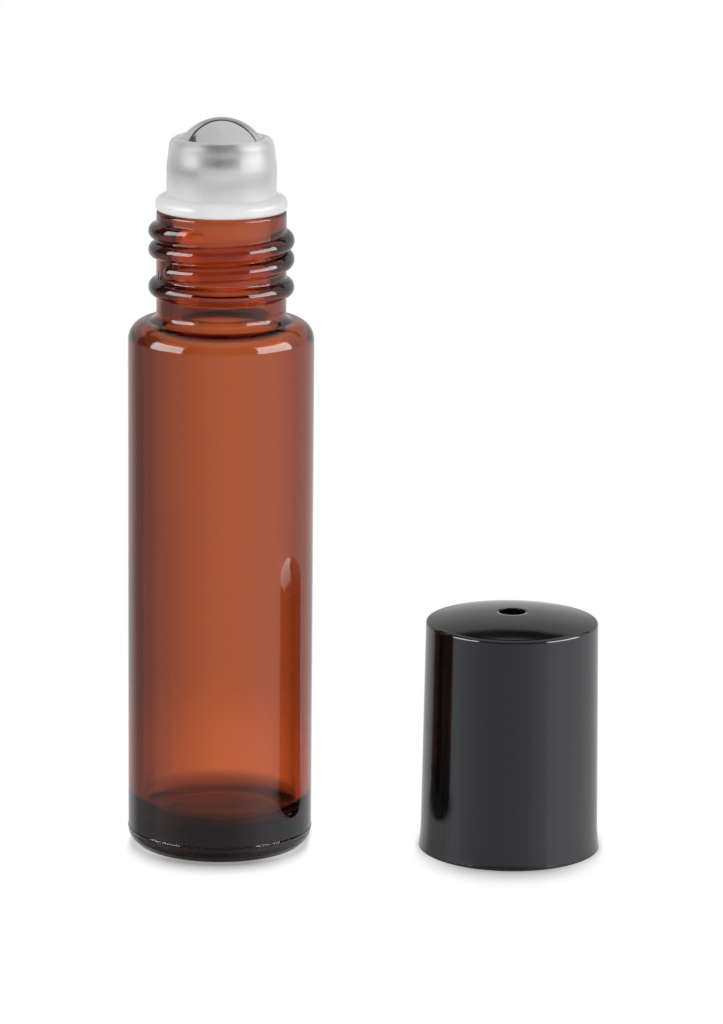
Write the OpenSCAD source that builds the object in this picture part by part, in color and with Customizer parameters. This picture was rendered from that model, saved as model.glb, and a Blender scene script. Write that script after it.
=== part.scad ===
// Roll-on bottle for oils and perfume: a glass bottle with a ball in a snap-in housing,
// and its screw cap standing beside it. Millimetres, +Z up, bottle foot on z = 0.

/* [Glass body] */
// Outer diameter of the glass body
body_d = 20; // [19:0.5:24]
// Height from the foot to the top of the shoulder
body_h = 58; // [40:1:90]
// Thickness of the glass wall
wall = 1.6; // [1.2:0.1:2]
// Thickness of the glass under the shoulder
shoulder_wall = 1.5; // [1.2:0.1:2]
// Thickness of the glass at the foot
floor_t = 3.8; // [2.4:0.2:6]
// Radius of the shoulder outside
shoulder_r = 2.1; // [1.2:0.1:2.6]
// Radius of the shoulder inside
inner_shoulder_r = 1.9; // [1:0.1:2.6]
// Radius of the corner between wall and floor inside
floor_r = 2; // [1:0.1:4]
// Radius of the heel outside
heel_r = 1.4; // [0.8:0.1:2]
// Height of the heel, up to the straight wall
heel_h = 1.55; // [1.5:0.05:2.5]
// Radius of the foot's outer edge
foot_edge_r = 0.5; // [0.2:0.1:0.6]
// Width of the flat ring that the bottle stands on
foot_ring_w = 1.5; // [0.8:0.1:3]
// Height of the hollow under the foot
push_up = 0.6; // [0.2:0.1:1.2]

/* [Neck finish] */
// Outer diameter of the neck
neck_d = 13.94; // [13.4:0.1:14.6]
// Bore of the neck
bore_d = 10.6; // [10:0.1:11.2]
// Radius between the shoulder and the neck
neck_fillet = 0.9; // [0.4:0.1:1]
// Radius of the corner where the bore opens into the body
throat_r = 1; // [0.5:0.1:1.4]
// Radius of the lip's outer edge
lip_r = 0.35; // [0.2:0.05:0.5]
// Radius of the lip's inner edge
lip_inner_r = 0.25; // [0.1:0.05:0.5]
// How far the transfer bead stands out
bead_h = 0.86; // [0.5:0.02:1]
// Width of the transfer bead at the neck
bead_w = 1.86; // [1.2:0.02:2.2]
// Height of the transfer bead's middle above the shoulder
bead_lift = 3.62; // [2.6:0.02:6]

/* [Thread] */
// Pitch of the thread
thread_pitch = 2.03; // [2:0.01:3]
// Length of the thread in turns
thread_turns = 2.132; // [1.5:0.001:3]
// Angle over which the thread runs out into the neck at its upper end
run_out_deg = 75; // [10:5:120]
// How far the thread stands out
thread_h = 0.86; // [0.6:0.02:0.9]
// Width of the thread at the neck
thread_w = 1.84; // [1.4:0.02:1.9]
// Where the thread starts, as an angle from +X
thread_start_deg = -142; // [-180:1:180]
// Gap between the transfer bead and the thread's lower end
thread_gap = 0.35; // [0.3:0.05:2]
// Depth of the thread's upper end below the lip
thread_drop = 0.86; // [0.8:0.02:2]

/* [Roller] */
// Diameter of the ball
ball_d = 10.2; // [9.8:0.1:10.6]
// Running clearance round the ball
ball_clear = 0.05; // [0.02:0.01:0.1]
// Height of the ball's centre above the glass lip
ball_lift = 4.84; // [4.6:0.02:5.4]
// Thickness of the socket's wall
socket_wall = 0.73; // [0.6:0.01:1]
// Thickness of the socket's floor under the ball
socket_floor = 0.9; // [0.7:0.05:1.2]
// Height of the socket's rim above the ball's centre
rim_lift = 3; // [2.4:0.1:3.4]
// How far the socket draws in from the ball's centre up to its rim
rim_taper = 0.26; // [0:0.02:0.4]
// Radius of the rim's outer edge
rim_r = 0.9; // [0.5:0.05:1]
// Radius of the rim's inner edge
rim_edge_r = 0.3; // [0.1:0.05:0.4]
// Diameter of the hole that feeds the ball
feed_d = 4.4; // [3:0.1:5]
// Width of a feed slot
slot_w = 0.9; // [0.5:0.1:1.5]
// Length of a feed slot from the axis
slot_l = 3.6; // [2.8:0.1:3.8]
// Number of feed slots
slot_count = 4; // [3:1:6]

/* [Housing] */
// How far the flange stands out past the glass neck
flange_over = 0.08; // [0:0.02:0.2]
// Thickness of the flange
flange_t = 1.57; // [1.4:0.01:2.4]
// Radius of the flange's lower edge
flange_lower_r = 0.45; // [0.2:0.05:0.6]
// Radius of the flange's upper edge
flange_upper_r = 0.8; // [0.3:0.05:0.8]
// Radius between the flange and the socket
flange_fillet = 0.25; // [0.1:0.05:0.3]
// Length of the plug inside the neck
plug_l = 7.4; // [5:0.1:10]
// Thickness of the plug's wall
plug_wall = 1.05; // [0.8:0.05:1.3]
// Clearance between the plug and the bore
plug_clear = 0.05; // [0.02:0.01:0.1]
// How far a sealing rib bites past the bore
rib_bite = 0.04; // [0.02:0.01:0.06]
// Width of a sealing rib
rib_w = 0.7; // [0.4:0.1:1]
// Number of sealing ribs
rib_count = 3; // [2:1:3]
// Length of the lead-in at the plug's end
lead_in = 0.5; // [0.3:0.1:0.8]

/* [Cap] */
// Distance from the bottle's axis to the cap that stands beside it
cap_x = 31.7; // [24:0.1:80]
// Gap between the closed cap and the shoulder
cap_gap = 0.5; // [0.3:0.1:1.5]
// Clearance between the cap's liner and the neck
cap_clear = 0.22; // [0.15:0.01:0.4]
// Thickness of the liner's wall behind its thread
liner_wall = 0.45; // [0.4:0.05:0.7]
// How far the liner's foot lies inside the shell
liner_recess = 0.4; // [0.2:0.1:1]
// How far the liner's thread stands in
cap_thread_h = 0.6; // [0.4:0.02:0.62]
// Width of the liner's thread at its root
cap_thread_w = 1.4; // [1:0.05:1.6]
// Width of the liner's thread at its crest
cap_thread_crest = 0.26; // [0.15:0.01:0.3]
// Length of the liner's thread in turns
cap_thread_turns = 1.6; // [1:0.1:1.8]
// Angle by which the liner's thread starts after the bottle's
cap_thread_lag_deg = 90; // [90:5:150]
// Clearance between the liner's well and the socket
well_clear = 0.37; // [0.25:0.01:0.6]
// Thickness of the liner's well
well_wall = 0.9; // [0.7:0.1:1.1]
// Thickness of the liner's ledge over the flange
ledge_t = 1.2; // [0.8:0.1:2]
// Gap between the closed cap and what it seals on
seal_gap = 0.1; // [0.05:0.01:0.2]
// Thickness of the liner's top
liner_top_t = 1; // [0.8:0.1:1.5]
// Outer diameter of the boss that holds the ball shut
boss_d = 7.2; // [6:0.1:8]
// Width of the boss's flat ring
boss_ring_w = 0.6; // [0.4:0.1:1]
// Clearance between the liner and the shell
liner_clear = 0.05; // [0.02:0.01:0.1]
// How far the liner's snap bands bite past the shell's bore
band_bite = 0.04; // [0.02:0.01:0.06]
// Width of a snap band
band_w = 0.8; // [0.5:0.1:1.2]

/* [Cap shell] */
// Thickness of the shell's wall at its rim
shell_wall = 0.78; // [0.7:0.02:1.2]
// How much the shell widens from its rim to the start of the flare
shell_draft = 0.3; // [0:0.02:0.5]
// How much the flare widens the shell at its foot
shell_flare = 0.22; // [0.1:0.02:0.5]
// Height of the flare
flare_h = 3.4; // [2:0.2:6]
// Radius of the shell's foot edge
shell_foot_r = 0.15; // [0.05:0.05:0.3]
// Radius of the shell's rim
shell_rim_r = 0.3; // [0.1:0.05:0.6]
// Height of the domed top above its rim
dome_rise = 1; // [0.4:0.1:2]
// Thickness of the domed top
dome_t = 1; // [0.8:0.1:1.5]
// Space between the liner's top and the edge of the shell's ceiling
head_space = 1.83; // [0.6:0.01:4]
// Diameter of the vent hole in the top
vent_d = 2.96; // [1.5:0.1:5]
// Number of ribs that stop the liner
stop_rib_count = 8; // [4:1:16]
// Thickness of a stop rib
stop_rib_t = 0.8; // [0.6:0.1:1.2]
// How far a stop rib stands in
stop_rib_w = 0.9; // [0.6:0.1:1.2]
// Smallest gap between the stop ribs and the liner's well
rib_gap = 0.45; // [0.3:0.05:1]

/* [Hidden] */
$fn = 96;

// How far a cut runs past the surface that it opens
overrun = 1;
// A thread stands on a many-sided bed, set in a shallow groove of the round wall: how deep the
// groove is, how far the bed reaches behind it, how far its sides lie inside the round wall, and
// how far it runs past the thread
bed_depth = 0.2;
bed_bite = 0.1;
bed_set = 0.02;
bed_margin = 0.2;
// How far a thread's foot lies inside its bed
thread_embed = 0.1;
// Steps of an arc in an outline, of the cap's small edges and of the socket
arc_steps = 9;
edge_steps = 5;
socket_steps = 27;
// Steps of one turn of a thread, of its round end and of its section
turn_steps = 48;
fade_steps = 5;
thread_arc_steps = 8;
// Share of its full section that a thread starts with, and the share of its height that it
// ends with, which lies inside the wall
thread_start_share = 0.15;
thread_end_share = 0.05;
// Slope of the heel where its round ends, from the upright
heel_deg = 45;

// Glass body
body_r = body_d / 2;
inner_r = body_r - wall;
heel_corner = [body_r - heel_r, heel_h];
heel_low = heel_corner + heel_r * [cos(heel_deg), -sin(heel_deg)];
foot_r = heel_low[0] - heel_low[1] * tan(heel_deg);
foot_flat_r = foot_r - foot_edge_r * tan((90 - heel_deg) / 2);
foot_inner_r = foot_flat_r - foot_ring_w;
ceiling_z = body_h - shoulder_wall;

// Neck
neck_r = neck_d / 2;
bore_r = bore_d / 2;
bead_z = body_h + bead_lift;
thread_z = bead_z + bead_w / 2 + thread_gap + thread_w / 2;
thread_top = thread_z + thread_pitch * thread_turns;
lip_z = thread_top + thread_w / 2 + thread_drop;
inner_corner_r = min(inner_shoulder_r, inner_r - bore_r - throat_r);

// Roller
ball_r = ball_d / 2;
ball_z = lip_z + ball_lift;
socket_r = ball_r + ball_clear;
barrel_r = socket_r + socket_wall;
feed_r = feed_d / 2;
flange_r = neck_r + flange_over;
flange_z = lip_z + flange_t;
plug_r = bore_r - plug_clear;
plug_inner_r = plug_r - plug_wall;
plug_z = lip_z - plug_l;
rim_z = ball_z + rim_lift;
rim_inner_r = sqrt(pow(socket_r, 2) - pow(rim_lift - rim_edge_r, 2));
rim_outer_r = min(rim_r, barrel_r - rim_taper - rim_inner_r - rim_edge_r);

// Cap, measured from its own foot
seat_z = body_h + cap_gap;
liner_bore_r = neck_r + max(thread_h, bead_h) + cap_clear;
well_r = barrel_r + well_clear;
well_outer_r = well_r + well_wall;
liner_r = max(liner_bore_r + liner_wall, well_outer_r + rib_gap + stop_rib_w - liner_clear);
ledge_z = flange_z + seal_gap - seat_z;
ball_top = ball_z + ball_r - seat_z;
well_top = ball_top + 2 * seal_gap;
liner_top = well_top + liner_top_t;
cap_thread_z = thread_z - thread_pitch / 2 + thread_pitch * cap_thread_lag_deg / 360 - seat_z;
cap_thread_top = cap_thread_z + thread_pitch * cap_thread_turns;
shell_bore_r = liner_r + liner_clear;
shell_rim_outer = shell_bore_r + shell_wall;
flare_outer = shell_rim_outer + shell_draft;
foot_outer = flare_outer + shell_flare;
shell_rim_z = liner_top + head_space + dome_t;
dome_r = shell_rim_outer - shell_rim_r;
dome_top = shell_rim_z + dome_rise;
stop_rib_top = shell_rim_z - dome_t / 2;

// Points of an arc in an outline
function arc(centre, r, from, to, steps = arc_steps) =
    [for (i = [0 : steps])
        let (a = from + (to - from) * i / steps)
            centre + r * [cos(a), sin(a)]];

// Points of a half ellipse that stands on a wall, from its lower to its upper end
function half_ellipse(centre, h, w, steps = arc_steps) =
    [for (i = [0 : steps])
        let (a = -90 + 180 * i / steps)
            centre + [h * cos(a), w / 2 * sin(a)]];

// Points of a shallow dome from its edge to its middle
function dome(r, z, rise) =
    let (radius = (r * r + rise * rise) / (2 * rise), reach = asin(r / radius))
        arc([0, z + rise - radius], radius, 90 - reach, 90);

function reversed(points) = [for (i = [len(points) - 1 : -1 : 0]) points[i]];

// Stations of a thread: each an angle from its start, the share of its full height and the share
// of its full width there. It starts in a round end and runs out into the wall at its other end.
function stations(turns, round_deg, fade_deg) =
    let (
        full_deg = 360 * turns - round_deg - fade_deg,
        full_steps = ceil(full_deg * turn_steps / 360),
        end_steps = max(fade_steps, ceil(fade_deg * turn_steps / 360))
    )
        concat(
            [for (i = [0 : fade_steps - 1])
                let (a = 90 * i / fade_steps, share = max(thread_start_share, sin(a)))
                    [round_deg * (1 - cos(a)), share, share]],
            [for (i = [0 : full_steps])
                [round_deg + full_deg * i / full_steps, 1, 1]],
            [for (i = [1 : end_steps])
                let (t = i / end_steps, sunk = (1 - thread_end_share) * pow(t, 2))
                    [round_deg + full_deg + fade_deg * t, 1 - sunk, sqrt(1 - pow(sunk, 2))]]
        );

// A thread on a wall of radius root_r. The section's points are offsets from the root: how far
// a point stands off the wall, and how high it is. It faces outward, or inward with facing = -1.
module thread(root_r, facing, section, z, turns, start_deg, fade_deg = 0) {
    round_deg = thread_w / 2 / root_r * 180 / PI;
    places = stations(turns, round_deg, max(round_deg, fade_deg));
    count = len(section);
    last = len(places) - 1;
    points = [for (place = places) for (offset = section)
        let (
            a = start_deg + place[0],
            r = root_r + facing * ((offset[0] + thread_embed) * place[1] - thread_embed),
            h = z + thread_pitch * place[0] / 360 + offset[1] * place[2]
        )
            [r * cos(a), r * sin(a), h]];
    sides = [for (k = [0 : last - 1]) for (j = [0 : count - 1])
        let (a = k * count + j, b = k * count + (j + 1) % count)
            each [[a, b, b + count], [a, b + count, a + count]]];
    ends = [[for (j = [count - 1 : -1 : 0]) j], [for (j = [0 : count - 1]) last * count + j]];
    faces = concat(sides, ends);
    polyhedron(points, facing > 0 ? faces : [for (face = faces) reversed(face)]);
}

// Outline of the groove for a thread's bed, from its lower to its upper end
function bed_groove(r, facing, low, high) = [
    [r, low - bed_margin],
    [r - facing * bed_depth, low - bed_margin],
    [r - facing * bed_depth, high + bed_margin],
    [r, high + bed_margin]
];

// Corners of a thread's bed
function bed_corners(r) =
    [for (i = [0 : turn_steps - 1])
        let (a = 360 * i / turn_steps)
            r * [cos(a), sin(a)]];

// The bed on the outside of a wall, and the bed on the inside of one
module outer_bed(r, low, high) {
    translate([0, 0, low - bed_margin - bed_bite])
        linear_extrude(high - low + 2 * (bed_margin + bed_bite))
            difference() {
                polygon(bed_corners(r - bed_set));
                circle(r - bed_depth - bed_bite);
            }
}

module inner_bed(r, low, high) {
    translate([0, 0, low - bed_margin - bed_bite])
        linear_extrude(high - low + 2 * (bed_margin + bed_bite))
            difference() {
                circle(r + bed_depth + bed_bite);
                polygon(bed_corners((r + bed_set) / cos(180 / turn_steps)));
            }
}

// Bands or ribs of half round section that stand out from a wall
module bands(r, h, w, heights) {
    for (z = heights)
        rotate_extrude()
            polygon(concat(
                [[r - h, z - w / 2]],
                half_ellipse([r, z], h, w),
                [[r - h, z + w / 2]]
            ));
}

module bottle() {
    outside = concat(
        arc([foot_flat_r, foot_edge_r], foot_edge_r, -90, -heel_deg),
        arc(heel_corner, heel_r, -heel_deg, 0),
        arc([body_r - shoulder_r, body_h - shoulder_r], shoulder_r, 0, 90),
        arc([neck_r + neck_fillet, body_h + neck_fillet], neck_fillet, 270, 180),
        half_ellipse([neck_r, bead_z], bead_h, bead_w),
        bed_groove(neck_r, 1, thread_z - thread_w / 2, thread_top + thread_w / 2),
        arc([neck_r - lip_r, lip_z - lip_r], lip_r, 0, 90)
    );
    inside = concat(
        arc([bore_r + lip_inner_r, lip_z - lip_inner_r], lip_inner_r, 90, 180),
        arc([bore_r + throat_r, ceiling_z + throat_r], throat_r, 180, 270),
        arc([inner_r - inner_corner_r, ceiling_z - inner_corner_r], inner_corner_r, 90, 0),
        arc([inner_r - floor_r, floor_t + floor_r], floor_r, 0, -90),
        [[0, floor_t]]
    );
    thread_section = concat(
        [[-thread_embed, -thread_w / 2]],
        half_ellipse([0, 0], thread_h, thread_w, thread_arc_steps),
        [[-thread_embed, thread_w / 2]]
    );
    color([0.55, 0.26, 0.13, 0.75]) {
        rotate_extrude()
            polygon(concat(outside, inside, reversed(dome(foot_inner_r, 0, push_up))));
        outer_bed(neck_r, thread_z - thread_w / 2, thread_top + thread_w / 2);
        thread(neck_r, 1, thread_section, thread_z, thread_turns, thread_start_deg, run_out_deg);
    }
}

module roller_housing() {
    floor_r_outer = socket_r + socket_floor;
    rim_arc_r = barrel_r - rim_taper - rim_outer_r;
    outside = concat(
        [[plug_r - lead_in / 2, plug_z], [plug_r, plug_z + lead_in], [plug_r, lip_z]],
        arc([flange_r - flange_lower_r, lip_z + flange_lower_r], flange_lower_r, -90, 0),
        arc([flange_r - flange_upper_r, flange_z - flange_upper_r], flange_upper_r, 0, 90),
        arc([barrel_r + flange_fillet, flange_z + flange_fillet], flange_fillet, 270, 180),
        [[barrel_r, ball_z]],
        arc([rim_arc_r, rim_z - rim_outer_r], rim_outer_r, 0, 90)
    );
    inside = concat(
        arc([rim_inner_r + rim_edge_r, rim_z - rim_edge_r], rim_edge_r, 90, 180),
        arc([0, ball_z], socket_r, asin((rim_lift - rim_edge_r) / socket_r), -acos(feed_r / socket_r),
            socket_steps),
        arc([0, ball_z], floor_r_outer, -acos(feed_r / floor_r_outer),
            -acos(plug_inner_r / floor_r_outer)),
        [[plug_inner_r, plug_z]]
    );
    rib_step = (plug_l - lead_in - rib_w) / (rib_count + 1);
    rib_h = plug_clear + rib_bite;
    color([0.93, 0.93, 0.92])
        difference() {
            union() {
                rotate_extrude()
                    polygon(concat(outside, inside));
                bands(plug_r, rib_h, rib_w,
                      [for (i = [1 : rib_count]) plug_z + lead_in + i * rib_step]);
            }
            for (i = [0 : slot_count - 1])
                rotate([0, 0, 360 / slot_count * (i + 1 / 2)])
                    translate([0, -slot_w / 2, ball_z - floor_r_outer - overrun])
                        cube([slot_l, slot_w, floor_r_outer - feed_r + overrun]);
        }
}

module roller_ball() {
    color([0.72, 0.73, 0.74])
        translate([0, 0, ball_z])
            sphere(ball_r);
}

module cap_shell() {
    outside = concat(
        [[shell_bore_r, 0]],
        arc([foot_outer - shell_foot_r, shell_foot_r], shell_foot_r, -90, 0, edge_steps),
        [for (i = [1 : arc_steps])
            [flare_outer + shell_flare * pow(1 - i / arc_steps, 2),
             shell_foot_r + (flare_h - shell_foot_r) * i / arc_steps]],
        arc([dome_r, shell_rim_z - shell_rim_r], shell_rim_r, 0, 90, edge_steps),
        dome(dome_r, shell_rim_z, dome_rise)
    );
    ceiling = dome(shell_bore_r, shell_rim_z - dome_t, dome_rise);
    color([0.07, 0.07, 0.08])
        translate([cap_x, 0, 0])
            difference() {
                union() {
                    rotate_extrude()
                        polygon(concat(outside, reversed(ceiling)));
                    stop_ribs();
                }
                translate([0, 0, liner_top])
                    cylinder(h = dome_top - liner_top + overrun, r = vent_d / 2);
            }
}

// Ribs inside the shell that the liner's ledge seats against
module stop_ribs() {
    low = ledge_z + ledge_t;
    for (i = [0 : stop_rib_count - 1])
        rotate([0, 0, 360 / stop_rib_count * i])
            translate([shell_bore_r - stop_rib_w, -stop_rib_t / 2, low])
                cube([stop_rib_w + shell_wall / 2, stop_rib_t, stop_rib_top - low]);
}

module cap_liner() {
    dish_r = ball_r + seal_gap;
    boss_inner_r = boss_d / 2 - boss_ring_w;
    boss_low = ball_z - seat_z + sqrt(pow(dish_r, 2) - pow(boss_inner_r, 2));
    outside = [
        [liner_r, liner_recess],
        [liner_r, ledge_z + ledge_t],
        [well_outer_r, ledge_z + ledge_t],
        [well_outer_r, liner_top],
        [0, liner_top]
    ];
    inside = concat(
        arc([0, ball_z - seat_z], dish_r, 90, acos(boss_inner_r / dish_r)),
        [
            [boss_d / 2, boss_low],
            [boss_d / 2, well_top],
            [well_r, well_top],
            [well_r, ledge_z],
            [liner_bore_r, ledge_z]
        ],
        reversed(bed_groove(liner_bore_r, -1, cap_thread_z - cap_thread_w / 2,
                            cap_thread_top + cap_thread_w / 2)),
        [[liner_bore_r, liner_recess]]
    );
    section = [
        [-thread_embed, -cap_thread_w / 2],
        [0, -cap_thread_w / 2],
        [cap_thread_h, -cap_thread_crest / 2],
        [cap_thread_h, cap_thread_crest / 2],
        [0, cap_thread_w / 2],
        [-thread_embed, cap_thread_w / 2]
    ];
    band_h = liner_clear + band_bite;
    color([0.13, 0.13, 0.14])
        translate([cap_x, 0, 0]) {
            rotate_extrude()
                polygon(concat(outside, inside));
            inner_bed(liner_bore_r, cap_thread_z - cap_thread_w / 2,
                      cap_thread_top + cap_thread_w / 2);
            thread(liner_bore_r, -1, section, cap_thread_z, cap_thread_turns,
                   thread_start_deg + cap_thread_lag_deg);
            bands(liner_r, band_h, band_w,
                  [liner_recess + band_w, ledge_z + ledge_t - band_w]);
        }
}

bottle();
roller_housing();
roller_ball();
cap_shell();
cap_liner();
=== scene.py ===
# Looks of the roll-on bottle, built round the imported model. Sizes are millimetres unless a name
# says otherwise, and every mesh is scaled to metres when it is made.
import math

import bpy
from mathutils import Matrix, Vector


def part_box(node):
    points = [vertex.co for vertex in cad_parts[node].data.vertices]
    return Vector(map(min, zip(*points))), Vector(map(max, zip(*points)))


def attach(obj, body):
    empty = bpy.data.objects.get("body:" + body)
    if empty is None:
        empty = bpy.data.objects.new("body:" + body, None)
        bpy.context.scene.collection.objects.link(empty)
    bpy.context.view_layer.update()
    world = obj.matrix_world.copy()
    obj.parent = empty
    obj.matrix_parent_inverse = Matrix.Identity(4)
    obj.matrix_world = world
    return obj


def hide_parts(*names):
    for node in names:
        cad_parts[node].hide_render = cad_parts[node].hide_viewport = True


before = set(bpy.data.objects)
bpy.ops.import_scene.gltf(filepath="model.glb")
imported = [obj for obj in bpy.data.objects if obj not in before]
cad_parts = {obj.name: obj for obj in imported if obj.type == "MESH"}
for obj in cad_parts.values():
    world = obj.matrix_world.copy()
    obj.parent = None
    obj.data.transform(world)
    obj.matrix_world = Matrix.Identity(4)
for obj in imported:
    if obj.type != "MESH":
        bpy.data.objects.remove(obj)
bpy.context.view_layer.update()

MM = 0.001

# Glass body
BODY_R = 10.0
BODY_H = 58.0
WALL = 1.6
SHOULDER_WALL = 1.1
FLOOR_T = 3.8
SHOULDER_R = 2.1
INNER_SHOULDER_R = 0.9
FLOOR_R = 2.0
HEEL_R = 1.4
HEEL_H = 1.55
HEEL_ANGLE = math.radians(45)
FOOT_EDGE_R = 0.5
FOOT_RING_W = 1.5
PUSH_UP = 0.6
MOULD_LINE_H = 0.05
MOULD_LINE_W = 0.25

# Neck
NECK_R = 6.97
BORE_R = 5.3
NECK_FILLET = 0.9
THROAT_R = 2.0
LIP_R = 0.35
LIP_INNER_R = 0.25
BEAD_H = 0.86
BEAD_W = 1.86
BEAD_LIFT = 3.62

# Thread
PITCH = 2.03
TURNS = 2.132
RUN_OUT = math.radians(75)
THREAD_H = 0.86
THREAD_W = 1.84
THREAD_START = math.radians(-142)
THREAD_GAP = 0.35
THREAD_DROP = 0.86
THREAD_FILLET = 0.1
BEAD_FILLET = 0.22

# Roller
BALL_R = 5.1
BALL_CLEAR = 0.05
BALL_LIFT = 4.84
SOCKET_WALL = 0.73
SOCKET_FLOOR = 0.9
RIM_LIFT = 3.0
RIM_TAPER = 0.26
RIM_R = 0.9
RIM_EDGE_R = 0.3
FEED_R = 2.2
FLANGE_OVER = 0.08
FLANGE_T = 1.57
FLANGE_LOWER_R = 0.45
FLANGE_UPPER_R = 0.8
FLANGE_FILLET = 0.25
PLUG_L = 7.4
PLUG_WALL = 1.05
PLUG_CLEAR = 0.05
RIB_W = 0.7
RIB_H = PLUG_CLEAR * 0.9
RIB_COUNT = 3
LEAD_IN = 0.5

# Cap
CAP_GAP = 0.5
CAP_CLEAR = 0.22
LINER_WALL = 0.45
LINER_RECESS = 0.4
CAP_THREAD_H = 0.6
CAP_THREAD_W = 1.4
CAP_THREAD_CREST = 0.26
CAP_THREAD_TURNS = 1.6
CAP_THREAD_LAG = math.radians(90)
WELL_CLEAR = 0.37
WELL_WALL = 0.9
LEDGE_T = 1.2
SEAL_GAP = 0.1
LINER_TOP_T = 1.0
BOSS_R = 3.6
BOSS_RING_W = 0.6
LINER_CLEAR = 0.05
SHELL_WALL = 0.78
SHELL_DRAFT = 0.3
SHELL_FLARE = 0.22
FLARE_H = 3.4
SHELL_FOOT_R = 0.15
SHELL_RIM_R = 0.3
DOME_RISE = 1.0
DOME_T = 1.0
HEAD_SPACE = 1.83
VENT_R = 1.48

# Places that follow from the sizes
INNER_R = BODY_R - WALL
CEILING_Z = BODY_H - SHOULDER_WALL
BEAD_Z = BODY_H + BEAD_LIFT
THREAD_Z = BEAD_Z + BEAD_W / 2 + THREAD_GAP + THREAD_W / 2
THREAD_TOP = THREAD_Z + PITCH * TURNS
LIP_Z = THREAD_TOP + THREAD_W / 2 + THREAD_DROP
BALL_Z = LIP_Z + BALL_LIFT
SOCKET_R = BALL_R + BALL_CLEAR
BARREL_R = SOCKET_R + SOCKET_WALL
FLANGE_R = NECK_R + FLANGE_OVER
FLANGE_Z = LIP_Z + FLANGE_T
PLUG_R = BORE_R - PLUG_CLEAR
PLUG_INNER_R = PLUG_R - PLUG_WALL
PLUG_Z = LIP_Z - PLUG_L
RIM_Z = BALL_Z + RIM_LIFT
SEAT_Z = BODY_H + CAP_GAP
LINER_BORE_R = NECK_R + THREAD_H + CAP_CLEAR
LINER_R = LINER_BORE_R + LINER_WALL
LEDGE_Z = FLANGE_Z + SEAL_GAP - SEAT_Z
WELL_R = BARREL_R + WELL_CLEAR
WELL_OUTER_R = WELL_R + WELL_WALL
WELL_TOP = BALL_Z + BALL_R - SEAT_Z + 2 * SEAL_GAP
LINER_TOP = WELL_TOP + LINER_TOP_T
CAP_THREAD_Z = THREAD_Z - PITCH / 2 + PITCH * CAP_THREAD_LAG / math.tau - SEAT_Z
SHELL_BORE_R = LINER_R + LINER_CLEAR
SHELL_RIM_OUTER = SHELL_BORE_R + SHELL_WALL
FLARE_OUTER = SHELL_RIM_OUTER + SHELL_DRAFT
FOOT_OUTER = FLARE_OUTER + SHELL_FLARE
SHELL_RIM_Z = LINER_TOP + HEAD_SPACE + DOME_T
cap_low, cap_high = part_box("cap_shell")
CAP_X = (cap_low.x + cap_high.x) / 2 / MM

# Columns in a turn, with finer ones to both sides of a thread's start, and the least turn between two
COLUMNS = 240
FINE_COLUMNS = 22
FINE_TURN = math.radians(0.4)
LEAST_TURN = math.radians(0.25)

# Steps in a curve
ARC_STEPS = 12
SMALL_STEPS = 8
FILLET_STEPS = 6
THREAD_STEPS = 16
DOME_STEPS = 24
FLARE_STEPS = 24
SOCKET_STEPS = 40
BALL_STEPS = 120

# A straight over this length has guard rings this far from its ends, and between them rings about a
# span apart
LONG = 0.4
GUARD = 0.03
BODY_SPAN = 3
SPAN = 2

# How often the search for an angle halves its range, and a length that counts as none
HALVINGS = 40
TINY = 1e-6

# How far the seam of a thread's wall lies before its start, how many turns the wall goes on past
# the thread, and the least width that the thread's ends shrink to, as a share
LEAD = math.radians(30)
SPARE_TURNS = 0.16
CAP_SPARE_TURNS = 0.2
LEAST_WIDTH_SHARE = 0.1


# Outlines, as lists of (radius, height)

def arc(centre, radius, start_deg, end_deg, steps=ARC_STEPS):
    points = []
    for i in range(steps + 1):
        a = math.radians(start_deg + (end_deg - start_deg) * i / steps)
        points.append((centre[0] + radius * math.cos(a), centre[1] + radius * math.sin(a)))
    return points


def half_ellipse(root_r, z, height, width):
    points = []
    for i in range(SMALL_STEPS + 1):
        a = math.radians(-90 + 180 * i / SMALL_STEPS)
        points.append((root_r + height * math.cos(a), z + width / 2 * math.sin(a)))
    return points


def ridge(height, width, fillet):
    """Section of a half round ridge with a fillet at both roots: (off the wall, along it). The
    angle on the crest where the fillet touches it is found by halving."""
    def contact(a):
        normal = Vector((math.cos(a) / height, math.sin(a) / (width / 2))).normalized()
        return Vector((height * math.cos(a), width / 2 * math.sin(a))), normal

    low, high = 0.0, math.pi / 2
    for _ in range(HALVINGS):
        a = (low + high) / 2
        point, normal = contact(a)
        low, high = (a, high) if point.x + fillet * normal.x > fillet else (low, a)
    centre = point + fillet * normal
    turn = math.atan2(-normal.y, -normal.x) % math.tau
    upper = []
    for i in range(FILLET_STEPS + 1):
        t = turn + (math.pi - turn) * i / FILLET_STEPS
        upper.append((centre.x + fillet * math.cos(t), centre.y + fillet * math.sin(t)))
    crest = []
    for i in range(1, THREAD_STEPS):
        t = a * (2 * i / THREAD_STEPS - 1)
        crest.append((height * math.cos(t), width / 2 * math.sin(t)))
    return [(x, -y) for x, y in reversed(upper)] + crest + upper


def dome(radius, z, rise, inner=0.0):
    """A shallow dome from its edge to its middle, or to the radius inner."""
    sphere_r = (radius ** 2 + rise ** 2) / (2 * rise)
    reach = math.degrees(math.asin(radius / sphere_r))
    end = math.degrees(math.asin(inner / sphere_r))
    return arc((0, z + rise - sphere_r), sphere_r, 90 - reach, 90 - end, DOME_STEPS)


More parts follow.
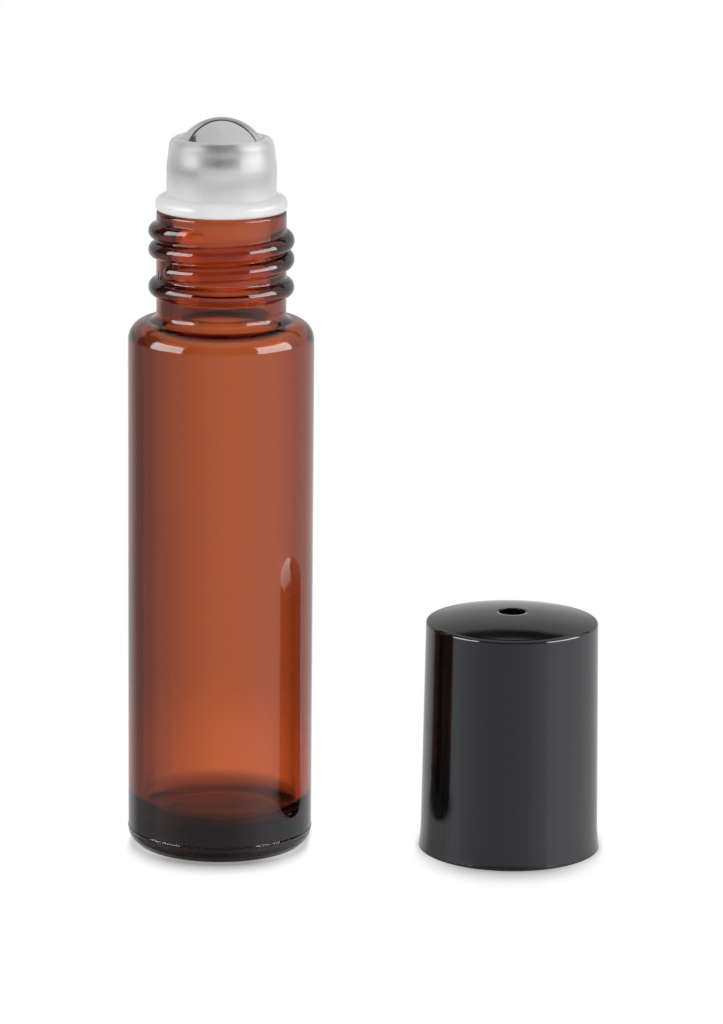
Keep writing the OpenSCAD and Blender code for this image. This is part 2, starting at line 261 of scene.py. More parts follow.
def guarded(points, span=None):
    """The outline with a point close to both ends of every long straight, so that the shading of a
    round doesn't run over the flat beside it. With a span, the straight between them is divided
    evenly too."""
    out = [points[0]]
    for a, b in zip(points, points[1:]):
        length = math.dist(a, b)
        if length < TINY:
            continue
        if length > LONG:
            stops = [GUARD / length]
            if span:
                count = max(1, round(length / span))
                stops += [i / count for i in range(1, count)]
            stops.append(1 - GUARD / length)
            out += [(a[0] + (b[0] - a[0]) * t, a[1] + (b[1] - a[1]) * t) for t in stops]
        out.append(b)
    return out


# Meshes

class Mesh:
    """Points and faces of a turned piece. Its rings all have the same columns."""

    def __init__(self, angles, x=0.0):
        self.angles = angles
        self.x = x
        self.points = []
        self.faces = []

    def point(self, r, angle, z):
        self.points.append(((self.x + r * math.cos(angle)) * MM, r * math.sin(angle) * MM, z * MM))
        return len(self.points) - 1

    def ring(self, r, z):
        if r < TINY:
            return [self.point(0, 0, z)]
        return [self.point(r, a, z) for a in self.angles]

    def bridge(self, low, high):
        count = len(self.angles)
        for i in range(count):
            j = (i + 1) % count
            if len(low) == 1:
                self.faces.append((low[0], high[j], high[i]))
            elif len(high) == 1:
                self.faces.append((low[i], low[j], high[0]))
            else:
                self.faces.append((low[i], low[j], high[j], high[i]))

    def turn(self, outline, start=None):
        """Turns an outline, from the ring start where one is given. Returns its last ring."""
        rings = [start] if start else []
        first = 1 if start else 0
        rings += [self.ring(r, z) for r, z in outline[first:]]
        for low, high in zip(rings, rings[1:]):
            self.bridge(low, high)
        return rings[-1]

    def build(self, name, material, body, slot, *nodes):
        mesh = bpy.data.meshes.new(name)
        mesh.from_pydata(self.points, [], self.faces)
        mesh.validate()
        mesh.shade_smooth()
        piece = bpy.data.objects.new(name, mesh)
        bpy.context.scene.collection.objects.link(piece)
        mesh.materials.append(material)
        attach(piece, body)
        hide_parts(*nodes)
        return piece


def column_angles(start, extra=()):
    """Evenly spaced angles from start, with finer ones round each angle in extra."""
    angles = {round(start + math.tau * i / COLUMNS, 6) for i in range(COLUMNS)}
    for centre in extra:
        for i in range(-FINE_COLUMNS, FINE_COLUMNS + 1):
            a = (centre + i * FINE_TURN - start) % math.tau + start
            angles.add(round(a, 6))
    ordered = sorted(angles)
    kept = [ordered[0]]
    for a in ordered[1:]:
        if a - kept[-1] > LEAST_TURN:
            kept.append(a)
    return kept


def thread_band(mesh, low_ring, high_z, facing, root_r, z_at, section, band_turns):
    """The wall between low_ring and the height high_z with a thread wound on it. section gives the
    points of one pitch at an angle: how far off the wall, and how high above the thread's middle.
    z_at is the height of the thread's middle at the first column."""
    angles = mesh.angles
    count = len(angles)
    total = round(band_turns * count)
    per_turn = len(section(0.0)) - 1

    def along(i):
        return angles[i % count] - angles[0] + math.tau * (i // count)

    grid = {}
    for i in range(total + count + 1):
        a = along(i)
        last = 1 if i > total else per_turn
        for j, (off, height) in enumerate(section(a)[:last]):
            z = z_at + PITCH * a / math.tau + height
            grid[i, j] = mesh.point(root_r + facing * off, angles[0] + a, z)

    def at(i, j):
        return grid[i + count, 0] if j == per_turn else grid[i, j]

    for i in range(total):
        for j in range(per_turn):
            mesh.faces.append((at(i, j), at(i + 1, j), at(i + 1, j + 1), at(i, j + 1)))
    for i in range(count - 1):
        mesh.faces.append((low_ring[i], low_ring[i + 1], at(i + 1, 0), at(i, 0)))
    seam = [at(0, j) for j in range(per_turn + 1)]
    mesh.faces.append((low_ring[-1], low_ring[0], *seam, at(count - 1, 0)))

    high_ring = mesh.ring(root_r, high_z)
    for i in range(1, count):
        a, b = (total + i) % count, (total + i + 1) % count
        mesh.faces.append((grid[total + i, 0], grid[total + i + 1, 0], high_ring[b], high_ring[a]))
    a, b = total % count, (total + 1) % count
    seam = [at(total, j) for j in range(per_turn, 0, -1)]
    mesh.faces.append((at(total, 0), grid[total + 1, 0], high_ring[b], high_ring[a], *seam))
    return high_ring


def thread_section(profile, a, turns, round_end, fade):
    """One pitch of a thread at the angle a from its start: the profile, drawn in to a round end at
    the start, and sinking into the wall over the angle fade at the other end."""
    start = min(1, max(0, 1 - a / round_end))
    sunk = min(1, max(0, 1 - (math.tau * turns - a) / fade)) ** 2
    high = wide = math.sqrt(1 - start ** 2)
    high *= 1 - sunk
    wide *= math.sqrt(1 - sunk ** 2)
    wide = max(wide, LEAST_WIDTH_SHARE)
    middle = [(off * high, z * wide) for off, z in profile]
    return [(0.0, -PITCH / 2), *middle, (0.0, PITCH / 2)]


# Materials

# The stretch of a noise over which a mottled value goes from its low to its high end
NOISE_LOW = 0.3
NOISE_HIGH = 0.7


class Graph:
    """Adds nodes to a tree with short calls. A value is a number or another node's output."""

    def __init__(self, tree):
        self.nodes = tree.nodes
        self.links = tree.links

    def put(self, socket, value):
        if isinstance(value, bpy.types.NodeSocket):
            self.links.new(value, socket)
        else:
            socket.default_value = value

    def math(self, operation, *values):
        node = self.nodes.new("ShaderNodeMath")
        node.operation = operation
        for socket, value in zip(node.inputs, values):
            self.put(socket, value)
        return node.outputs[0]

    def product(self, first, *others):
        for other in others:
            first = self.math("MULTIPLY", first, other)
        return first

    def ramp(self, value, low, high, start, end, interpolation="SMOOTHSTEP"):
        """Goes from start to end while value goes from low to high."""
        node = self.nodes.new("ShaderNodeMapRange")
        node.interpolation_type = interpolation
        for name, number in (("Value", value), ("From Min", low), ("From Max", high),
                             ("To Min", start), ("To Max", end)):
            self.put(node.inputs[name], number)
        return node.outputs["Result"]

    def steps(self, value, stops):
        """A smooth line through stops, each a value and the result there."""
        total = stops[0][1]
        for (low, start), (high, end) in zip(stops, stops[1:]):
            total = self.math("ADD", total, self.ramp(value, low, high, 0.0, end - start))
        return total

    def inside(self, value, span, soft):
        """1 within the span, and 0 outside it."""
        low, high = span
        return self.product(self.ramp(value, low - soft, low + soft, 0.0, 1.0),
                            self.ramp(value, high - soft, high + soft, 1.0, 0.0))

    def either(self, share, yes, no):
        """yes where the share is 1, and no where it is 0."""
        node = self.nodes.new("ShaderNodeMix")
        self.put(node.inputs[0], share)
        self.put(node.inputs[2], no)
        self.put(node.inputs[3], yes)
        return node.outputs[0]

    def axes(self, coordinates):
        """The X, Y and Z of one kind of texture coordinates."""
        split = self.nodes.new("ShaderNodeSeparateXYZ")
        self.put(split.inputs[0], self.nodes.new("ShaderNodeTexCoord").outputs[coordinates])
        return split.outputs["X"], split.outputs["Y"], split.outputs["Z"]

    def noise(self, scale, detail=2.0, roughness=0.5, stretch=(1, 1, 1)):
        """Noise over the piece's own metres, about 0.5."""
        mapping = self.nodes.new("ShaderNodeMapping")
        mapping.inputs["Scale"].default_value = stretch
        self.put(mapping.inputs["Vector"], self.nodes.new("ShaderNodeTexCoord").outputs["Object"])
        node = self.nodes.new("ShaderNodeTexNoise")
        self.put(node.inputs["Vector"], mapping.outputs["Vector"])
        self.put(node.inputs["Scale"], scale)
        self.put(node.inputs["Detail"], detail)
        self.put(node.inputs["Roughness"], roughness)
        return node.outputs["Fac"]

    def mottled(self, scale, start, end):
        """A value that wanders between start and end."""
        return self.ramp(self.noise(scale), NOISE_LOW, NOISE_HIGH, start, end)

    def bump(self, height, distance, shader):
        node = self.nodes.new("ShaderNodeBump")
        self.put(node.inputs["Strength"], 1.0)
        self.put(node.inputs["Distance"], distance)
        self.put(node.inputs["Height"], height)
        self.put(shader.inputs["Normal"], node.outputs["Normal"])


def material(name, **values):
    mat = bpy.data.materials.new(name)
    mat.use_nodes = True
    shader = mat.node_tree.nodes["Principled BSDF"]
    for key, value in values.items():
        shader.inputs[key.replace("_", " ")].default_value = value
    return mat, Graph(mat.node_tree), shader


def amber_glass():
    """Brown glass: the tint lies in its depth, and the walls are faintly wavy, as blown glass is."""
    mat, graph, shader = material("amber_glass", Base_Color=(1, 1, 1, 1), Roughness=0.0, IOR=1.5,
                                  Transmission_Weight=1.0)
    tint = graph.nodes.new("ShaderNodeVolumeAbsorption")
    tint.inputs["Color"].default_value = (0.79, 0.36, 0.0, 1)
    tint.inputs["Density"].default_value = 1150
    graph.links.new(tint.outputs[0], graph.nodes["Material Output"].inputs["Volume"])
    graph.bump(graph.noise(130, detail=1.0, stretch=(1, 1, 0.35)), 0.09 * MM, shader)
    return mat


def natural_plastic():
    """Unpigmented plastic: clear where the thin barrel holds the ball, milky in the thick flange
    and where the barrel is seen edge on."""
    mat, graph, shader = material("natural_plastic", Base_Color=(0.96, 0.96, 0.96, 1), IOR=1.5,
                                  Subsurface_Weight=1.0, Subsurface_Radius=(1, 1, 1),
                                  Subsurface_Scale=0.6 * MM)
    milky, clear, edge_clear = 0.1, 0.94, 0.5
    milky_to, clear_from = (FLANGE_Z - 0.5) * MM, (FLANGE_Z + 3.5) * MM
    edge = graph.nodes.new("ShaderNodeLayerWeight").outputs["Facing"]
    barrel = graph.ramp(edge, 0.25, 0.8, clear, edge_clear)
    _, _, height = graph.axes("Object")
    by_height = graph.ramp(height, milky_to, clear_from, milky, barrel)
    graph.put(shader.inputs["Transmission Weight"],
              graph.math("ADD", by_height, graph.mottled(260, -0.05, 0.05)))
    graph.put(shader.inputs["Roughness"], graph.mottled(1200, 0.32, 0.38))
    graph.bump(graph.noise(700, stretch=(1, 1, 2.5)), 0.01 * MM, shader)
    return mat


def steel():
    """A polished ball with the faint haze of its last lapping."""
    mat, graph, shader = material("steel", Base_Color=(0.8, 0.8, 0.81, 1), Metallic=1.0)
    graph.put(shader.inputs["Roughness"], graph.mottled(900, 0.05, 0.09))
    return mat


def black_gloss():
    """Moulded black plastic: glossy, with a slight orange peel and faint handling marks."""
    # The faint blue tint on its reflections is painted: a cool cast of the studio's light put on the
    # plastic
    mat, graph, shader = material("black_gloss", Base_Color=(0.0025, 0.0025, 0.003, 1), IOR=1.7,
                                  Specular_Tint=(0.93, 0.95, 1.0, 1))
    scratches = graph.noise(2600, detail=4.0, roughness=0.7, stretch=(1, 1, 0.2))
    marks = graph.ramp(scratches, 0.62, 0.72, 0.0, 0.09)
    graph.put(shader.inputs["Roughness"],
              graph.math("ADD", graph.mottled(500, 0.05, 0.09), marks))
    graph.bump(graph.noise(330, detail=1.5), 0.006 * MM, shader)
    return mat


def black_liner():
    """The matt inner part of the cap, straight from its mould."""
    mat, graph, shader = material("black_liner", Base_Color=(0.02, 0.02, 0.02, 1), IOR=1.45)
    graph.put(shader.inputs["Roughness"], graph.mottled(1500, 0.38, 0.5))
    graph.bump(graph.noise(2200, detail=3.0), 0.01 * MM, shader)
    return mat


# Pieces

def make_bottle(glass):
    """The glass: foot, body, shoulder, transfer bead, thread, lip and the space inside."""
    round_end = THREAD_W / 2 / NECK_R
    mesh = Mesh(column_angles(THREAD_START - LEAD, [THREAD_START]))

    heel_centre = (BODY_R - HEEL_R, HEEL_H)
    heel_low = (heel_centre[0] + HEEL_R * math.cos(HEEL_ANGLE),
                heel_centre[1] - HEEL_R * math.sin(HEEL_ANGLE))
    foot_flat_r = heel_low[0] - heel_low[1] - FOOT_EDGE_R * math.tan(HEEL_ANGLE / 2)
    inner_corner = min(INNER_SHOULDER_R, INNER_R - BORE_R - THROAT_R)
    outside = (
        list(reversed(dome(foot_flat_r - FOOT_RING_W, 0, PUSH_UP)))
        + arc((foot_flat_r, FOOT_EDGE_R), FOOT_EDGE_R, -90, -45)
        + arc(heel_centre, HEEL_R, -45, 0)
        + half_ellipse(BODY_R, HEEL_H + MOULD_LINE_W, MOULD_LINE_H, MOULD_LINE_W)
        + arc((BODY_R - SHOULDER_R, BODY_H - SHOULDER_R), SHOULDER_R, 0, 90)
        + arc((NECK_R + NECK_FILLET, BODY_H + NECK_FILLET), NECK_FILLET, 270, 180)
        + [(NECK_R + x, BEAD_Z + z) for x, z in ridge(BEAD_H, BEAD_W, BEAD_FILLET)]
    )
    inside = (
        arc((NECK_R - LIP_R, LIP_Z - LIP_R), LIP_R, 0, 90)
        + arc((BORE_R + LIP_INNER_R, LIP_Z - LIP_INNER_R), LIP_INNER_R, 90, 180)
        + arc((BORE_R + THROAT_R, CEILING_Z + THROAT_R), THROAT_R, 180, 270)
        + arc((INNER_R - inner_corner, CEILING_Z - inner_corner), inner_corner, 90, 0)
        + arc((INNER_R - FLOOR_R, FLOOR_T + FLOOR_R), FLOOR_R, 0, -90)
        + [(0, FLOOR_T)]
    )

    profile = ridge(THREAD_H, THREAD_W, THREAD_FILLET)

    def section(a):
        return thread_section(profile, a - LEAD, TURNS, round_end, RUN_OUT)

    low_ring = mesh.turn(guarded(outside, BODY_SPAN))
    high_z = LIP_Z - LIP_R
    z_at = THREAD_Z - PITCH * LEAD / math.tau
    high_ring = thread_band(mesh, low_ring, high_z, 1, NECK_R, z_at, section,
                            TURNS + SPARE_TURNS)
    mesh.turn(guarded(inside, SPAN), high_ring)
    return mesh.build("glass_bottle", glass, "glass", "amber_glass", "bottle")


def make_housing(plastic):
    """The roller's housing: plug with ribs, flange, barrel, rim and the socket of the ball."""
    mesh = Mesh(column_angles(0))
    rim_inner_r = math.sqrt(SOCKET_R ** 2 - (RIM_LIFT - RIM_EDGE_R) ** 2)
    rim_r = min(RIM_R, BARREL_R - RIM_TAPER - rim_inner_r - RIM_EDGE_R)
    floor_r = SOCKET_R + SOCKET_FLOOR
    rib_step = (PLUG_L - LEAD_IN - RIB_W) / (RIB_COUNT + 1)
    ribs = []
    for i in range(1, RIB_COUNT + 1):
        z = PLUG_Z + LEAD_IN + i * rib_step
        ribs += half_ellipse(PLUG_R, z, RIB_H, RIB_W)
    outline = (
        [(PLUG_INNER_R, PLUG_Z), (PLUG_R - LEAD_IN / 2, PLUG_Z), (PLUG_R, PLUG_Z + LEAD_IN)]
        + ribs
        + [(PLUG_R, LIP_Z)]
        + arc((FLANGE_R - FLANGE_LOWER_R, LIP_Z + FLANGE_LOWER_R), FLANGE_LOWER_R, -90, 0)
        + arc((FLANGE_R - FLANGE_UPPER_R, FLANGE_Z - FLANGE_UPPER_R), FLANGE_UPPER_R, 0, 90)
        + arc((BARREL_R + FLANGE_FILLET, FLANGE_Z + FLANGE_FILLET), FLANGE_FILLET, 270, 180)
        + [(BARREL_R, BALL_Z)]
        + arc((BARREL_R - RIM_TAPER - rim_r, RIM_Z - rim_r), rim_r, 0, 90)
        + arc((rim_inner_r + RIM_EDGE_R, RIM_Z - RIM_EDGE_R), RIM_EDGE_R, 90, 180)
        + arc((0, BALL_Z), SOCKET_R, math.degrees(math.asin((RIM_LIFT - RIM_EDGE_R) / SOCKET_R)),
              -math.degrees(math.acos(FEED_R / SOCKET_R)), SOCKET_STEPS)
        + arc((0, BALL_Z), floor_r, -math.degrees(math.acos(FEED_R / floor_r)),
              -math.degrees(math.acos(PLUG_INNER_R / floor_r)))
    )
    points = guarded(outline, SPAN)
    first = mesh.ring(*points[0])
    last = mesh.turn(points, first)
    mesh.bridge(last, first)
    return mesh.build("ball_housing", plastic, "glass", "natural_plastic", "roller_housing")


def make_ball(metal):
    mesh = Mesh(column_angles(0))
    outline = arc((0, BALL_Z), BALL_R, -90, 90, BALL_STEPS)
    outline[0] = (0, BALL_Z - BALL_R)
    outline[-1] = (0, BALL_Z + BALL_R)
    mesh.turn(outline)
    return mesh.build("steel_ball", metal, "ball", "steel_ball", "roller_ball")


def make_shell(plastic):
    """The cap's outer shell: flared foot, tapered wall and a dome with a vent hole."""
    mesh = Mesh(column_angles(0), CAP_X)
    dome_r = SHELL_RIM_OUTER - SHELL_RIM_R
    outline = (
        [(SHELL_BORE_R, 0)]
        + arc((FOOT_OUTER - SHELL_FOOT_R, SHELL_FOOT_R), SHELL_FOOT_R, -90, 0, SMALL_STEPS)
        + [(FLARE_OUTER + SHELL_FLARE * (1 - i / FLARE_STEPS) ** 2,
            SHELL_FOOT_R + (FLARE_H - SHELL_FOOT_R) * i / FLARE_STEPS)
           for i in range(1, FLARE_STEPS + 1)]
        + arc((dome_r, SHELL_RIM_Z - SHELL_RIM_R), SHELL_RIM_R, 0, 90)
        + dome(dome_r, SHELL_RIM_Z, DOME_RISE, VENT_R)
        + list(reversed(dome(SHELL_BORE_R, SHELL_RIM_Z - DOME_T, DOME_RISE, VENT_R)))
    )
    points = guarded(outline, SPAN)
    first = mesh.ring(*points[0])
    last = mesh.turn(points, first)
    mesh.bridge(last, first)
    return mesh.build("cap_outer", plastic, "cap", "black_gloss", "cap_shell")


def make_liner(plastic):
    """The cap's liner: threaded wall, ledge on the flange, well over the ball and a sealing boss."""
    start = THREAD_START + CAP_THREAD_LAG
    mesh = Mesh(column_angles(start - LEAD, [start]), CAP_X)
    round_end = THREAD_W / 2 / LINER_BORE_R
    dish_r = BALL_R + SEAL_GAP
    boss_inner_r = BOSS_R - BOSS_RING_W
    ball_z = BALL_Z - SEAT_Z
    boss_low = ball_z + math.sqrt(dish_r ** 2 - boss_inner_r ** 2)
    profile = guarded([(0, -CAP_THREAD_W / 2 - GUARD), (0, -CAP_THREAD_W / 2),
                       (CAP_THREAD_H, -CAP_THREAD_CREST / 2), (CAP_THREAD_H, CAP_THREAD_CREST / 2),
                       (0, CAP_THREAD_W / 2), (0, CAP_THREAD_W / 2 + GUARD)])

    def section(a):
        return thread_section(profile, a - LEAD, CAP_THREAD_TURNS, round_end, round_end)

    outside = [
        (LINER_BORE_R, LINER_RECESS), (LINER_R, LINER_RECESS),
        (LINER_R, LEDGE_Z + LEDGE_T),
        (WELL_OUTER_R, LEDGE_Z + LEDGE_T), (WELL_OUTER_R, LINER_TOP), (0, LINER_TOP)
    ]
    inside = (
        [(LINER_BORE_R, LEDGE_Z), (WELL_R, LEDGE_Z), (WELL_R, WELL_TOP), (BOSS_R, WELL_TOP),
         (BOSS_R, boss_low)]
        + arc((0, ball_z), dish_r, math.degrees(math.acos(boss_inner_r / dish_r)), 90)
    )
    inside[-1] = (0, inside[-1][1])
    points = guarded(outside, SPAN)
    first = mesh.ring(*points[0])
    mesh.turn(points, first)
    z_at = CAP_THREAD_Z - PITCH * LEAD / math.tau
    low_ring = mesh.ring(LINER_BORE_R, z_at - PITCH / 2 - GUARD)
    mesh.bridge(low_ring, first)
    reverse_from = len(mesh.faces)
    high_ring = thread_band(mesh, low_ring, LEDGE_Z, -1, LINER_BORE_R, z_at, section,
                            CAP_THREAD_TURNS + CAP_SPARE_TURNS)
    mesh.turn(guarded(inside, SPAN), high_ring)
    mesh.faces[reverse_from:] = [tuple(reversed(f)) for f in mesh.faces[reverse_from:]]
    return mesh.build("cap_inner", plastic, "cap", "black_liner", "cap_liner")


# Studio. Azimuths are degrees round from the front, which is -Y: positive to the left, negative to
# the right. Elevations are degrees above the horizon. Stops are pairs of a place and the value
# there. An edge is the pair of places between which a value changes, and a span is the pair of
# places between which it holds.

# The floor, how far its shadow reaches from a piece, and how light the shadow is at its deepest
# beside a piece and in front of it
STAGE_R = 220.0
STAGE_SIDES = 128
STAGE_SINK = 0.01
SHADOW_BESIDE = 0.7
SHADOW_BEFORE_BOTTLE = 5.0
SHADOW_BEFORE_CAP = 6.8
SHADOW_DEPTHS = (0.58, 0.3)
SHADOW_FACING_EDGE = (0.3, 0.95)
SHADOW_OPEN_EDGE = (0.5, 0.97)
SHADOW_SAMPLES = 16

# How much brighter the floor is through glass, or darker below 0, by how far it lies from the
# middle of the bottle: painted shade under the bottle and painted light in a ring round it
NEAR_STOPS = ((12.0, -0.45), (30.0, 0.35), (75.0, 0.0))

# How bright the floor is, by azimuth: through glass on the left and the right, and in reflections
SEEN_LEFT = ((20.0, 0.75), (60.0, 0.4), (85.0, 0.35), (110.0, 0.3), (135.0, 0.22), (153.0, 0.25),
             (163.0, 0.42), (167.5, 0.53), (170.0, 0.65), (177.0, 0.88))
SEEN_RIGHT = ((20.0, 0.75), (90.0, 0.62), (150.0, 0.62), (160.0, 0.66), (162.0, 0.78), (178.0, 0.88))
SHONE = ((-150.0, 0.75), (-135.0, 0.75), (-110.0, 0.85), (-90.0, 0.95), (-70.0, 1.0), (-55.0, 0.95),
         (-45.0, 0.76), (-20.0, 0.56), (0.0, 0.51), (20.0, 0.49), (40.0, 0.53), (57.0, 0.6),
         (75.0, 0.72), (95.0, 0.52), (122.0, 0.4), (140.0, 0.7))

# The stretch of floor on the left that is dark in what glass mirrors inside itself
SHUT_SPAN = (55.0, 135.0)
SHUT_SOFT = 10.0
SHUT_LEVEL = 0.15

# The panel overhead, which is brighter to the right, and the thin dark gap along its far edge, which
# ends on the right
OVERHEAD = 0.66
OVERHEAD_TILT = 0.1
GAP_STOPS = ((118.0, 30.5), (137.0, 35.0), (150.0, 36.8), (163.0, 35.8), (172.0, 35.0), (203.0, 35.5),
             (211.0, 33.0), (220.0, 28.5), (227.0, 23.5))
GAP_END_EDGE = (226.0, 232.0)
GAP_EDGE = (1.8, 5.2)
GAP_LEVEL = 0.06

# The back wall under the panel, by elevation, and the walls beside it
BACK_STOPS = ((3.0, 0.92), (15.0, 0.72), (31.0, 0.5), (36.0, 1.0))
BACK_EDGE = (145.0, 165.0)
SIDE_LEVEL = 0.95

# The dark front behind the camera, which lies a little to the left and ends under the panel
FRONT_EDGE = (104.0, 112.0)
FRONT_SHIFT = 14.0
FRONT_TOP_EDGE = (39.0, 43.5)
FRONT_LEVELS = (0.16, 0.95)

# Two soft boxes: their spans of azimuth and elevation, and how bright each is to a ray that has
# passed three surfaces
LEFT_BOX = ((45.0, 92.0), (-3.0, 28.0), 0.5)
RIGHT_BOX = ((-101.0, -50.0), (-3.0, 30.0), 0.8)
BOX_LEVEL = 8.0
BOX_SOFT = 2.0

# The even room that lights matt surfaces, brighter above and to the right, and its level to a ray
# that has passed three surfaces
PLAIN = 0.82
PLAIN_TILT = 0.08
PLAIN_WITHIN = 1.3

# The edge between right and left, and that between the floor and the room
MIDDLE_EDGE = (-1.0, 1.0)
HORIZON_EDGE = (-4.0, -2.0)

# A ray's depth is over these from its first bounce and its third surface on
FIRST_BOUNCE = 0.5
THIRD_SURFACE = 2.5


def make_floor():
    """A round white floor. Glass and gloss look through it to the lower half of the world, so that
    they show the studio's light by its direction, dimmed where the floor lies in shadow."""
    turns = [math.tau * i / STAGE_SIDES for i in range(STAGE_SIDES)]
    ring = [(STAGE_R * MM * math.cos(a), STAGE_R * MM * math.sin(a), -STAGE_SINK * MM) for a in turns]
    mesh = bpy.data.meshes.new("floor")
    mesh.from_pydata(ring, [], [tuple(range(STAGE_SIDES))])
    floor = bpy.data.objects.new("floor", mesh)
    bpy.context.scene.collection.objects.link(floor)
    mat = bpy.data.materials.new("floor")
    mat.use_nodes = True
    mesh.materials.append(mat)
    graph = Graph(mat.node_tree)
    graph.nodes.clear()
    x, y, _ = graph.axes("Object")
    path = graph.nodes.new("ShaderNodeLightPath").outputs

    # The shadow reaches furthest in front of each piece, and hardly shows beside it.
    by_cap = graph.math("GREATER_THAN", x, CAP_X * MM / 2)
    near_x = graph.math("SUBTRACT", x, graph.product(by_cap, CAP_X * MM))
    y_square = graph.product(y, y)
    facing = graph.math("DIVIDE", y_square, graph.math("ADD", y_square, graph.product(near_x, near_x)))
    before = graph.ramp(by_cap, 0.0, 1.0, SHADOW_BEFORE_BOTTLE * MM, SHADOW_BEFORE_CAP * MM, "LINEAR")
    shade = graph.nodes.new("ShaderNodeAmbientOcclusion")
    shade.samples = SHADOW_SAMPLES
    graph.put(shade.inputs["Distance"],
              graph.ramp(facing, 0.0, 1.0, SHADOW_BESIDE * MM, before, "LINEAR"))
    deepest = graph.ramp(facing, *SHADOW_FACING_EDGE, *SHADOW_DEPTHS)
    open_share = graph.ramp(shade.outputs["AO"], *SHADOW_OPEN_EDGE, deepest, 1.0, "LINEAR")

    glow = graph.nodes.new("ShaderNodeEmission")
    graph.put(glow.inputs["Strength"], open_share)

    # Painted shade under the bottle and painted light in a ring round it, seen only through glass
    reach = graph.math("SQRT", graph.math("ADD", y_square, graph.product(x, x)))
    painted_shade_and_light = graph.product(graph.steps(reach, [(place * MM, value) for place, value in NEAR_STOPS]),
                         path["Is Transmission Ray"])
    share = graph.product(graph.math("ADD", painted_shade_and_light, 1.0), open_share)
    grey = graph.nodes.new("ShaderNodeCombineXYZ")
    for socket in grey.inputs:
        graph.put(socket, share)
    clear = graph.nodes.new("ShaderNodeBsdfTransparent")
    graph.put(clear.inputs["Color"], grey.outputs[0])

    mirrored = graph.math("MAXIMUM", path["Is Glossy Ray"], path["Is Transmission Ray"])
    undiffused = graph.math("LESS_THAN", path["Diffuse Depth"], FIRST_BOUNCE)
    looks_through = graph.product(mirrored, undiffused)
    mix = graph.nodes.new("ShaderNodeMixShader")
    graph.put(mix.inputs["Fac"], looks_through)
    graph.put(mix.inputs[1], glow.outputs[0])
    graph.put(mix.inputs[2], clear.outputs[0])
    out = graph.nodes.new("ShaderNodeOutputMaterial")
    graph.put(out.inputs["Surface"], mix.outputs[0])


def room_above(graph, az, up, x, on_left, within):
    """How bright the studio is above the floor."""
    overhead = graph.math("MULTIPLY_ADD", x, OVERHEAD_TILT, OVERHEAD)
    round_back = graph.math("ADD", az, graph.either(graph.math("LESS_THAN", az, 0.0), 360.0, 0.0))
    off_gap = graph.math("ABSOLUTE", graph.math("SUBTRACT", up, graph.steps(round_back, GAP_STOPS)))
    gap = graph.either(graph.ramp(round_back, *GAP_END_EDGE, 0.0, 1.0), 1.0,
                       graph.ramp(off_gap, *GAP_EDGE, GAP_LEVEL, 1.0))
    aside = graph.math("ABSOLUTE", az)
    walls = graph.either(graph.ramp(aside, *BACK_EDGE, 0.0, 1.0), graph.steps(up, BACK_STOPS),
                         SIDE_LEVEL)
    back = graph.product(overhead, gap, walls)
    front = graph.product(overhead, graph.ramp(up, *FRONT_TOP_EDGE, *FRONT_LEVELS))
    turned = graph.math("ADD", aside, graph.either(on_left, -FRONT_SHIFT, FRONT_SHIFT))
    level = graph.either(graph.ramp(turned, *FRONT_EDGE, 0.0, 1.0), back, front)
    for azimuths, elevations, level_within in (LEFT_BOX, RIGHT_BOX):
        box = graph.product(graph.inside(az, azimuths, BOX_SOFT),
                            graph.inside(up, elevations, BOX_SOFT),
                            graph.either(within, level_within, BOX_LEVEL))
        level = graph.math("ADD", level, box)
    return level


def room_below(graph, az, on_left, within, path):
    """How bright the floor is to glass and gloss."""
    seen = graph.either(on_left, graph.steps(az, SEEN_LEFT),
                        graph.steps(graph.product(az, -1.0), SEEN_RIGHT))
    mirrored = graph.math("GREATER_THAN", path["Glossy Depth"], FIRST_BOUNCE)
    shut = graph.product(mirrored, within, graph.inside(az, SHUT_SPAN, SHUT_SOFT))
    seen = graph.product(seen, graph.ramp(shut, 0.0, 1.0, 1.0, SHUT_LEVEL, "LINEAR"))
    return graph.either(path["Is Transmission Ray"], seen, graph.steps(az, SHONE))


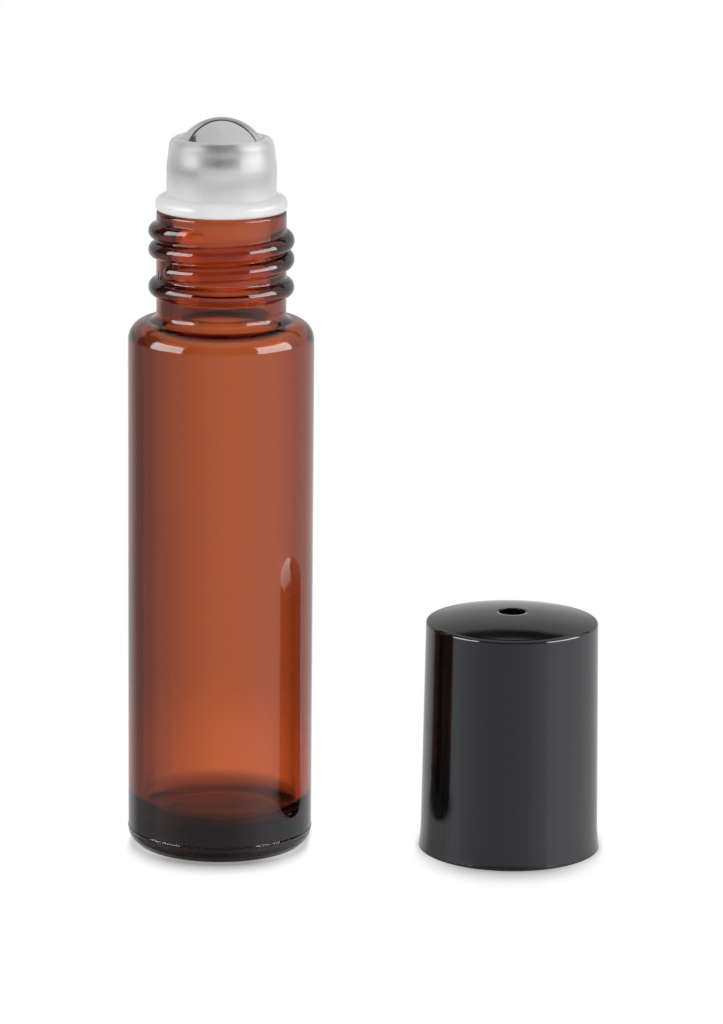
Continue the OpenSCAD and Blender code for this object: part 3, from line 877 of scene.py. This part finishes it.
def make_world():
    """A white studio, as the camera sees it. Glass and gloss show its panel, walls, boxes and floor,
    and matt surfaces are lit by an even room."""
    world = bpy.data.worlds.new("studio")
    bpy.context.scene.world = world
    world.use_nodes = True
    world.cycles.sampling_method = "NONE"
    graph = Graph(world.node_tree)
    x, y, z = graph.axes("Generated")
    az = graph.math("DEGREES", graph.math("ARCTAN2", graph.product(x, -1.0), graph.product(y, -1.0)))
    up = graph.math("DEGREES", graph.math("ARCSINE", z))
    on_left = graph.ramp(az, *MIDDLE_EDGE, 0.0, 1.0)
    path = graph.nodes.new("ShaderNodeLightPath").outputs
    within = graph.math("GREATER_THAN", path["Transmission Depth"], THIRD_SURFACE)

    above = room_above(graph, az, up, x, on_left, within)
    below = room_below(graph, az, on_left, within, path)
    level = graph.either(graph.ramp(up, *HORIZON_EDGE, 0.0, 1.0), above, below)
    plain = graph.math("ADD", graph.math("MULTIPLY_ADD", z, PLAIN_TILT, PLAIN),
                       graph.product(x, PLAIN_TILT))
    plain = graph.either(within, PLAIN_WITHIN, plain)
    diffused = graph.math("GREATER_THAN", path["Diffuse Depth"], FIRST_BOUNCE)
    level = graph.either(diffused, plain, level)
    level = graph.either(path["Is Camera Ray"], 1.0, level)
    background = graph.nodes["Background"]
    background.inputs["Color"].default_value = (1, 1, 1, 1)
    graph.put(background.inputs["Strength"], level)


def make_camera():
    """The photograph's view, found with the body's width: where the camera looks, from how far and
    from which side in radians, and its focal length in the photograph's pixels."""
    target = Vector((15.2457, 0, 37.1109))
    distance, azimuth, elevation, roll = 560.0, 0.0474, 0.2279, 0.0092
    focal_px, frame_h, sensor = 5184.38, 1024, 36.0
    back = Vector((math.sin(azimuth) * math.cos(elevation),
                   -math.cos(azimuth) * math.cos(elevation), math.sin(elevation)))
    right = Vector((math.cos(azimuth), math.sin(azimuth), 0))
    up = back.cross(right)
    rolled_right = right * math.cos(roll) + up * math.sin(roll)
    rolled_up = up * math.cos(roll) - right * math.sin(roll)
    data = bpy.data.cameras.new("camera")
    data.sensor_fit = "VERTICAL"
    data.sensor_height = sensor
    data.lens = focal_px * sensor / frame_h
    data.clip_start = 0.01
    camera = bpy.data.objects.new("camera", data)
    bpy.context.scene.collection.objects.link(camera)
    turn = Matrix((rolled_right, rolled_up, back)).transposed().to_4x4()
    camera.matrix_world = Matrix.Translation((target + back * distance) * MM) @ turn
    bpy.context.scene.camera = camera


def set_render():
    """Plain colours, and bounces enough for light to pass through every wall of glass."""
    bpy.context.scene.view_settings.view_transform = "Standard"
    cycles = bpy.context.scene.cycles
    cycles.diffuse_bounces = 16
    cycles.glossy_bounces = 32
    cycles.transmission_bounces = 32
    cycles.max_bounces = 48
    cycles.blur_glossy = 0.0


make_bottle(amber_glass())
make_housing(natural_plastic())
make_ball(steel())
make_shell(black_gloss())
make_liner(black_liner())
make_floor()
make_world()
make_camera()
set_render()
